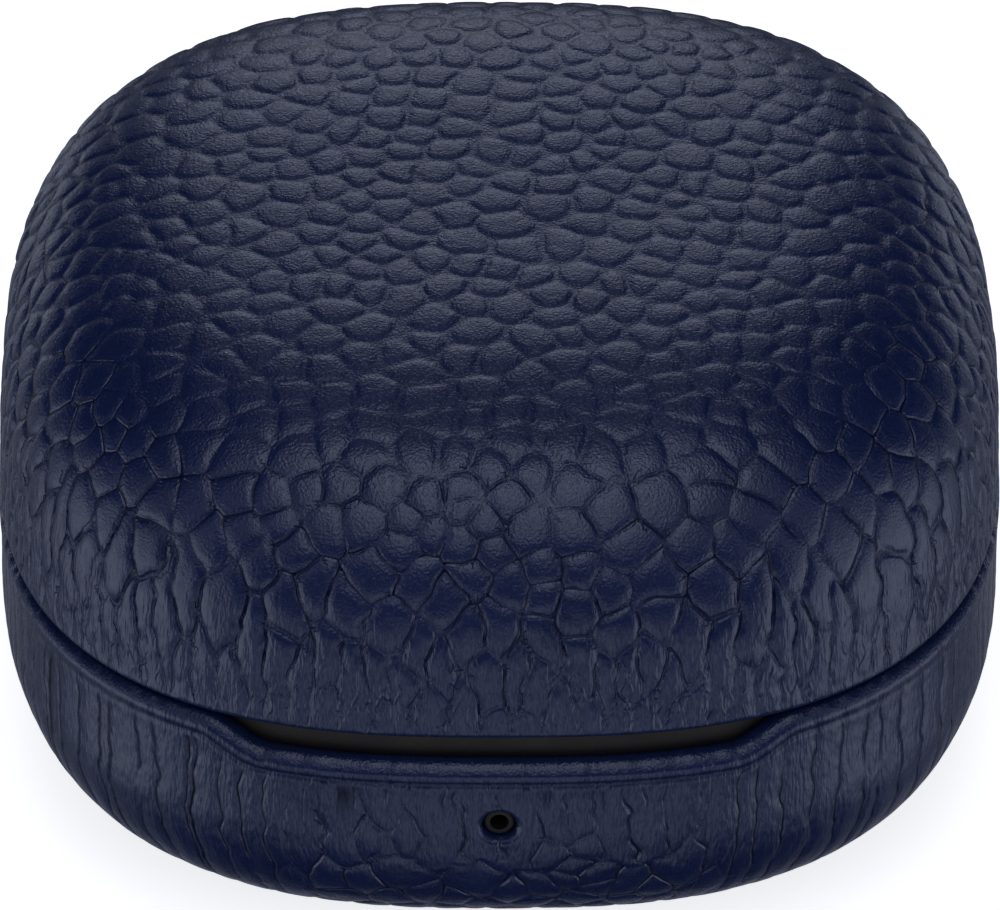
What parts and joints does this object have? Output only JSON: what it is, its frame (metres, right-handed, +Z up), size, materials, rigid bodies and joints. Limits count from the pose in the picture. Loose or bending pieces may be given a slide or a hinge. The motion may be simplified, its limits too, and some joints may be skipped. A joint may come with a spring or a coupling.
{
  "type": "earbuds charging case",
  "caption": "Rounded square charging case for wireless earbuds in a fitted navy pebbled leather cover, with a hinged lid, earbud wells, sprung contacts and a rear charging socket.",
  "frame": {"origin": "middle of the flat foot, on the surface that the case stands on", "axes": "+X to the right seen from the front, +Y from the finger notch at the front to the hinge at the back, +Z up"},
  "size_m": [0.0536, 0.0538, 0.0314],
  "materials": {
    "navy_leather": "satin, pebbled grain",
    "cover_black": "fine matt",
    "case_black": "satin",
    "tray_black": "satin",
    "board_green": "solder mask",
    "chip_black": "matt",
    "steel": "bright",
    "spring_steel": "bright",
    "magnet_nickel": "nickel plated",
    "gold": "gold plated",
    "copper": "enamelled wire",
    "ferrite_grey": "matt",
    "cell_foil": "foil pouch",
    "flex_amber": "polyimide film",
    "clear_guide": "clear acrylic",
    "silicone": "matt"
  },
  "bodies": {
    "base": {"base_leather": "navy_leather", "base_cover_shell": "cover_black", "case_base_shell": "case_black", "hinge_cap_left": "case_black", "hinge_cap_right": "case_black", "bud_tray": "tray_black", "main_board": "board_green", "contact_board": "board_green", "charge_controller": "chip_black", "microcontroller": "chip_black", "lid_sensor": "chip_black", "usb_c_tongue": "chip_black", "hinge_pin": "steel", "hinge_spring": "steel", "usb_c_shell": "steel", "board_screw_left": "steel", "board_screw_right": "steel", "base_magnet_left": "magnet_nickel", "base_magnet_right": "magnet_nickel", "bud_magnet_left": "magnet_nickel", "bud_magnet_right": "magnet_nickel", "contact_barrel_left_inner": "gold", "contact_barrel_left_outer": "gold", "contact_barrel_right_inner": "gold", "contact_barrel_right_outer": "gold", "contact_spring_left_inner": "spring_steel", "contact_spring_left_outer": "spring_steel", "contact_spring_right_inner": "spring_steel", "contact_spring_right_outer": "spring_steel", "charging_coil": "copper", "ferrite_sheet": "ferrite_grey", "battery_cell": "cell_foil", "flex_cable": "flex_amber", "status_led": "clear_guide", "inner_led": "clear_guide", "status_light_guide": "clear_guide", "inner_light_guide": "clear_guide"},
    "lid": {"lid_leather": "navy_leather", "lid_cover_shell": "cover_black", "case_lid_shell": "case_black", "lid_liner": "tray_black", "lid_magnet_left": "magnet_nickel", "lid_magnet_right": "magnet_nickel", "sensor_magnet": "magnet_nickel", "bud_pad_left": "silicone", "bud_pad_right": "silicone"},
    "contact_plunger_left_inner": {"contact_plunger_left_inner": "gold"},
    "contact_plunger_left_outer": {"contact_plunger_left_outer": "gold"},
    "contact_plunger_right_inner": {"contact_plunger_right_inner": "gold"},
    "contact_plunger_right_outer": {"contact_plunger_right_outer": "gold"}
  },
  "joints": [
    {"name": "lid_hinge", "type": "hinge", "parent": "base", "child": "lid", "pos_m": [0, 0.0251, 0.01535], "axis": [-1, 0, 0], "range_deg": [0, 95], "deforming": ["hinge_spring"]},
    {"name": "contact_slide_left_inner", "type": "slide", "parent": "base", "child": "contact_plunger_left_inner", "axis": [0, 0, -1], "range_m": [0, 0.0007], "stiffness_N_per_m": 750, "springref_m": -0.0003, "deforming": ["contact_spring_left_inner"]},
    {"name": "contact_slide_left_outer", "type": "slide", "parent": "base", "child": "contact_plunger_left_outer", "axis": [0, 0, -1], "range_m": [0, 0.0007], "stiffness_N_per_m": 750, "springref_m": -0.0003, "deforming": ["contact_spring_left_outer"]},
    {"name": "contact_slide_right_inner", "type": "slide", "parent": "base", "child": "contact_plunger_right_inner", "axis": [0, 0, -1], "range_m": [0, 0.0007], "stiffness_N_per_m": 750, "springref_m": -0.0003, "deforming": ["contact_spring_right_inner"]},
    {"name": "contact_slide_right_outer", "type": "slide", "parent": "base", "child": "contact_plunger_right_outer", "axis": [0, 0, -1], "range_m": [0, 0.0007], "stiffness_N_per_m": 750, "springref_m": -0.0003, "deforming": ["contact_spring_right_outer"]}
  ]
}
